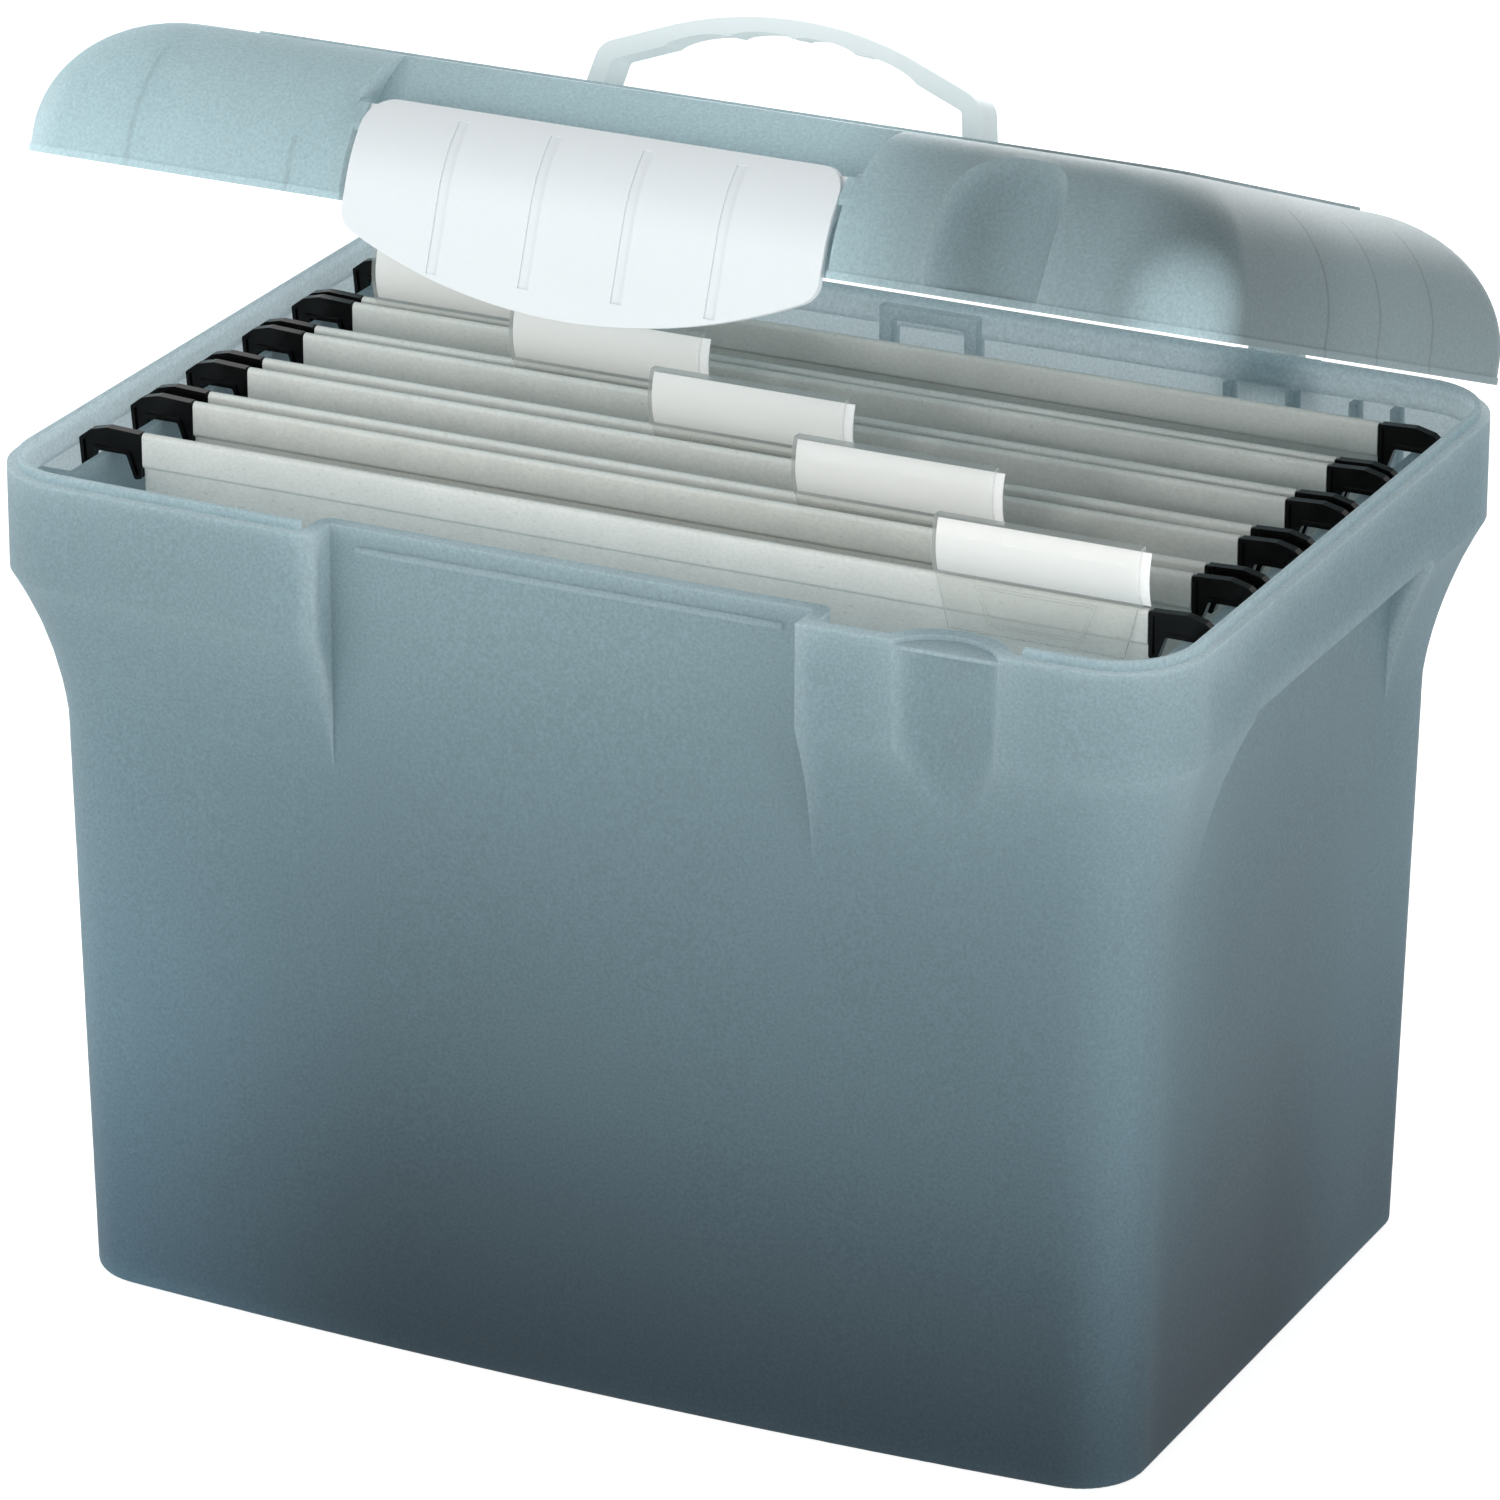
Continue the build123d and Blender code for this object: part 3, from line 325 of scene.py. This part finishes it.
# Painted shade: faint dark lines where the ribs stand inside the front and both sides.
on_front = calculate(tree, "LESS_THAN", deep, FRONT_FACE)
for middle, top in FRONT_RIBS:
    below_top = smooth_step(tree, high, top - RIB_FADE, top, RIB_SHADE, 0.0)
    rib = multiply(tree, rib_line(tree, across, middle), on_front, below_top)
    painted_light_level = subtract(tree, painted_light_level, rib)
on_side = calculate(tree, "GREATER_THAN", calculate(tree, "ABSOLUTE", across), SIDE_FACE)
for middle in SIDE_RIBS:
    rib = multiply(tree, rib_line(tree, deep, middle), on_side, RIB_SHADE)
    painted_light_level = subtract(tree, painted_light_level, rib)
shader.inputs["Specular IOR Level"].default_value = LID_SHEEN
smoke_wall(tree, shader, {**LID_SMOKE, **LID_LIGHT_AND_MOTTLE}, {**LID_GLOW, **LID_LIGHT_AND_MOTTLE}, painted_light_level,
           LID_THROUGH)
dress(lid_plastic, "lid")

# ---------------------------------------------------------------- front latch
# The latch is a white moulded flap with a satin face and four shallow grooves. It hangs on two
# stubs in the recess of the lid, and a little light comes through it.
LATCH_TINT = {"Low": (0.70, 0.755, 0.775), "High": (0.74, 0.785, 0.805), "From": 0.30, "To": 0.37,
              "Cloud": 0.05, "Speckle": 0.03}
LATCH_GRAIN = {"Grain": 700.0, "Smooth": 0.34, "Matt": 0.46, "Strength": 0.10}
LATCH_THROUGH = 0.15


def milky_plastic(name, tint, grain, share):
    """A pale moulding, with one tint for its surface and for the light that comes through it."""
    material, tree, shader = start_material(name)
    texture_surface(tree, shader, grain)
    colour = place_group(tree, FROSTED_TINT, tint)["Color"]
    wire(tree, shader.inputs["Base Color"], colour)
    let_light_through(tree, shader, colour, share)
    return material


dress(milky_plastic("white latch", LATCH_TINT, LATCH_GRAIN, LATCH_THROUGH), "front_latch")

# ---------------------------------------------------------------- carry handle
# The handle is a moulded bail in natural white polypropylene, on two stubs in the lid's well. It is
# uncoloured, so more light comes through it than through the latch and its underside stays pale.
HANDLE_TINT = {"Low": (0.90, 0.95, 0.96), "High": (0.93, 0.97, 0.97), "From": 0.34, "To": 0.37,
               "Cloud": 0.06, "Speckle": 0.03}
HANDLE_GRAIN = {"Grain": 700.0, "Smooth": 0.30, "Matt": 0.44, "Strength": 0.10}
HANDLE_THROUGH = 0.50

dress(milky_plastic("natural handle", HANDLE_TINT, HANDLE_GRAIN, HANDLE_THROUGH), "carry_handle")

# ---------------------------------------------------------------- folder cards
# Each pocket is grey-green recycled board, folded at the bottom and glued round its two bars at the
# top. Its fibres and darker flecks lie along the board, from left to right.
CARDS = [name for name in nodes if name.endswith("_card")]
BOARD_DARK = (0.73, 0.745, 0.71, 1.0)
BOARD_PALE = (0.81, 0.825, 0.785, 1.0)
BOARD_SPAN = (0.38, 0.62)
BOARD_FLECK = (0.50, 0.51, 0.48, 1.0)
BOARD_STRETCH = (0.6, 1.0, 1.0)
FIBRE_SCALE = 1300.0
FIBRE_SHARE = 0.65
FIBRE_RISE = 0.0001
FIBRE_STRENGTH = 0.2
MOTTLE_SCALE = 90.0
MOTTLE_SHARE = 0.35
FLECK_SCALE = 800.0
FLECK_STEP = (0.68, 0.76, 0.0, 0.35)
BOARD_ROUGH = 0.85
BOARD_SHEEN = 0.2


def colour_ramp(tree, value, first, last, start=0.0, end=1.0):
    """The first colour where the value is at start, and the last where it is at end."""
    node = add_node(tree, "ShaderNodeValToRGB", Fac=value)
    for element, position, colour in zip(node.color_ramp.elements, (start, end), (first, last)):
        element.position = position
        element.color = colour
    return node.outputs["Color"]


def raise_fibres(tree, shader, fibres):
    """Lets the fibres of board or paper stand up a little."""
    bump = add_node(tree, "ShaderNodeBump", Height=fibres, Distance=FIBRE_RISE,
                    Strength=FIBRE_STRENGTH)
    wire(tree, shader.inputs["Normal"], bump.outputs["Normal"])


card_board, tree, shader = start_material("folder board")
place = object_place(tree)
along = add_node(tree, "ShaderNodeMapping", Vector=place, Scale=BOARD_STRETCH).outputs["Vector"]
fibres = noise(tree, along, FIBRE_SCALE, detail=5.0)
mottle = noise(tree, place, MOTTLE_SCALE, detail=3.0)
mixed = add_up(tree, multiply(tree, fibres, FIBRE_SHARE), multiply(tree, mottle, MOTTLE_SHARE))
board = colour_ramp(tree, mixed, BOARD_DARK, BOARD_PALE, *BOARD_SPAN)
flecks = smooth_step(tree, noise(tree, along, FLECK_SCALE, detail=1.0), *FLECK_STEP)
wire(tree, shader.inputs["Base Color"], blend_colours(tree, flecks, board, BOARD_FLECK))
raise_fibres(tree, shader, fibres)
shader.inputs["Roughness"].default_value = BOARD_ROUGH
shader.inputs["Specular IOR Level"].default_value = BOARD_SHEEN
dress(card_board, *CARDS)

# ---------------------------------------------------------------- folder bars and hooks
# Two stiff bars run through the hems of each folder, and each ends in a glossy black hook that
# rides on the rails inside the case. The faces of the hooks are sunk inside a raised border.
BARS = [name for name in nodes if name.endswith("_bar")]
HOOK_TINT = {"Low": (0.003, 0.003, 0.003), "High": (0.006, 0.006, 0.006), "From": 0.235,
             "To": 0.255, "Cloud": 0.3, "Speckle": 0.2}
HOOK_GRAIN = {"Grain": 500.0, "Smooth": 0.14, "Matt": 0.26, "Strength": 0.05}
HOOK_SHEEN = 0.2

hook_plastic, tree, shader = start_material("black hook")
texture_surface(tree, shader, HOOK_GRAIN)
wire(tree, shader.inputs["Base Color"], place_group(tree, FROSTED_TINT, HOOK_TINT)["Color"])
shader.inputs["Specular IOR Level"].default_value = HOOK_SHEEN
dress(hook_plastic, *BARS)

# ---------------------------------------------------------------- index tabs
# Each tab is a clear moulded holder, clipped over the front hem. It has a sleeve with a bulged
# front above the hem, and a skirt with a raised outline in front of it. Its faces are nearly
# invisible, and its edges look darker.
TABS = [name for name in nodes if name.endswith("_tab")]
TAB_FACE = (0.92, 0.94, 0.90, 1.0)
TAB_EDGE = (0.36, 0.39, 0.38, 1.0)
TAB_SOLID = (0.0, 1.0, 0.06, 0.85)
TAB_TURN = 0.42
HAZE_SCALE = 160.0
HAZE_STEP = (0.3, 0.7, 0.05, 0.16)

clear_plastic, tree, shader = start_material("clear tab")
haze = noise(tree, object_place(tree), HAZE_SCALE, detail=2.0)
edge = add_node(tree, "ShaderNodeLayerWeight", Blend=TAB_TURN).outputs["Facing"]
wire(tree, shader.inputs["Roughness"], smooth_step(tree, haze, *HAZE_STEP))
wire(tree, shader.inputs["Alpha"], smooth_step(tree, edge, *TAB_SOLID))
wire(tree, shader.inputs["Base Color"], colour_ramp(tree, edge, TAB_FACE, TAB_EDGE))
dress(clear_plastic, *TABS)

# ---------------------------------------------------------------- paper inserts
# A blank white paper strip lies inside each holder, cut from plain stock and pushed in from the
# side, so that its right end stands out of the sleeve.
INSERTS = [name for name in nodes if name.endswith("_label")]
PAPER_DARK = (0.92, 0.925, 0.91, 1.0)
PAPER_PALE = (0.97, 0.97, 0.96, 1.0)
PAPER_SCALE = 700.0
PAPER_ROUGH = 0.9

insert_paper, tree, shader = start_material("insert paper")
fibres = noise(tree, object_place(tree), PAPER_SCALE, detail=4.0)
wire(tree, shader.inputs["Base Color"], colour_ramp(tree, fibres, PAPER_DARK, PAPER_PALE))
raise_fibres(tree, shader, fibres)
shader.inputs["Roughness"].default_value = PAPER_ROUGH
dress(insert_paper, *INSERTS)

# ---------------------------------------------------------------- floor
# A pale flat floor for the box to stand on, which shows only the faint shadow under it. It gives
# off some light of its own, and more where it is seen, so that it stays white behind the box.
FLOOR_HALF = 6.0
FLOOR_DROP = 0.0005
FLOOR_GREY = (0.60, 0.60, 0.60, 1.0)
FLOOR_ROUGH = 0.9
FLOOR_LIGHT = 0.55
FLOOR_SEEN_LIGHT = 0.25
WHITE = (1.0, 1.0, 1.0, 1.0)


def seen_rays(tree):
    """1 for light that is seen: straight on, in a glossy face or through the plastic."""
    rays = tree.nodes.new("ShaderNodeLightPath").outputs
    seen = calculate(tree, "MAXIMUM", rays["Is Camera Ray"], rays["Is Glossy Ray"])
    return calculate(tree, "MAXIMUM", seen, rays["Is Transmission Ray"])


floor_mesh = bpy.data.meshes.new("floor")
corners = [(x * FLOOR_HALF, y * FLOOR_HALF, 0.0) for x, y in ((-1, -1), (1, -1), (1, 1), (-1, 1))]
floor_mesh.from_pydata(corners, [], [(0, 1, 2, 3)])
floor = bpy.data.objects.new("floor", floor_mesh)
floor.location.z = -FLOOR_DROP
bpy.context.scene.collection.objects.link(floor)
floor_paint, tree, shader = start_material("floor paint")
shader.inputs["Base Color"].default_value = FLOOR_GREY
shader.inputs["Roughness"].default_value = FLOOR_ROUGH
shader.inputs["Specular IOR Level"].default_value = 0.0
shader.inputs["Emission Color"].default_value = WHITE
wire(tree, shader.inputs["Emission Strength"],
     add_up(tree, multiply(tree, seen_rays(tree), FLOOR_SEEN_LIGHT), FLOOR_LIGHT))
floor_mesh.materials.append(floor_paint)

# ---------------------------------------------------------------- lamps and background
# Soft lamps stand all round the box, the strongest at its right, in a white room. The room is
# dimmer as a light than it looks, so that the pale plastic keeps its colour.
ROOM_LIGHT = 0.40
BACKDROP_LIGHT = 1.0

world = bpy.data.worlds.new("studio")
bpy.context.scene.world = world
world.use_nodes = True
tree = world.node_tree
room = tree.nodes["Background"]
room.inputs["Color"].default_value = WHITE
room.inputs["Strength"].default_value = ROOM_LIGHT
backdrop = add_node(tree, "ShaderNodeBackground", Color=WHITE, Strength=BACKDROP_LIGHT)
choice = add_node(tree, "ShaderNodeMixShader", Fac=seen_rays(tree))
wire(tree, choice.inputs[1], room.outputs["Background"])
wire(tree, choice.inputs[2], backdrop.outputs["Background"])
wire(tree, tree.nodes["World Output"].inputs["Surface"], choice.outputs["Shader"])


def softbox(name, place, target, size, power):
    """A square lamp at a place, aimed at a target."""
    data = bpy.data.lights.new(name, "AREA")
    data.size = size
    data.energy = power
    lamp = bpy.data.objects.new(name, data)
    lamp.location = place
    lamp.rotation_euler = (Vector(target) - Vector(place)).to_track_quat("-Z", "Y").to_euler()
    bpy.context.scene.collection.objects.link(lamp)


softbox("key lamp", place=(-1.5, -1.7, 1.3), target=(0, 0, 0.25), size=0.9, power=12)
softbox("front lamp", place=(-0.5, -2.3, 0.6), target=(0, 0, 0.25), size=0.9, power=20)
softbox("left lamp", place=(-2.1, 0.2, 0.5), target=(0, 0, 0.25), size=0.9, power=12)
softbox("right lamp", place=(2.1, -0.7, 0.25), target=(0, 0, 0.15), size=0.9, power=28)
softbox("back lamp", place=(-0.4, 2.2, 0.6), target=(0, 0, 0.2), size=1.2, power=20)
softbox("top lamp", place=(-0.3, 0.2, 2.2), target=(0, 0, 0.2), size=1.4, power=5)

# ---------------------------------------------------------------- camera
# A long lens, a little above the box and to its right. Its place was worked out from the rim, the
# base, the folders and the latch.
LENS_MM = 206.2
SENSOR_MM = 36.0
CAMERA_AT = Vector((1.01813, -2.08155, 1.10422))
CAMERA_RIGHT = Vector((0.898018, 0.439959, 0.000172))
CAMERA_UP = Vector((-0.166890, 0.340283, 0.925395))

lens = bpy.data.cameras.new("camera")
lens.lens = LENS_MM
lens.sensor_width = SENSOR_MM
camera = bpy.data.objects.new("camera", lens)
turn = Matrix((CAMERA_RIGHT, CAMERA_UP, CAMERA_RIGHT.cross(CAMERA_UP))).transposed()
camera.matrix_world = Matrix.Translation(CAMERA_AT) @ turn.to_4x4()
bpy.context.scene.collection.objects.link(camera)
bpy.context.scene.camera = camera
bpy.context.scene.view_settings.view_transform = "Standard"
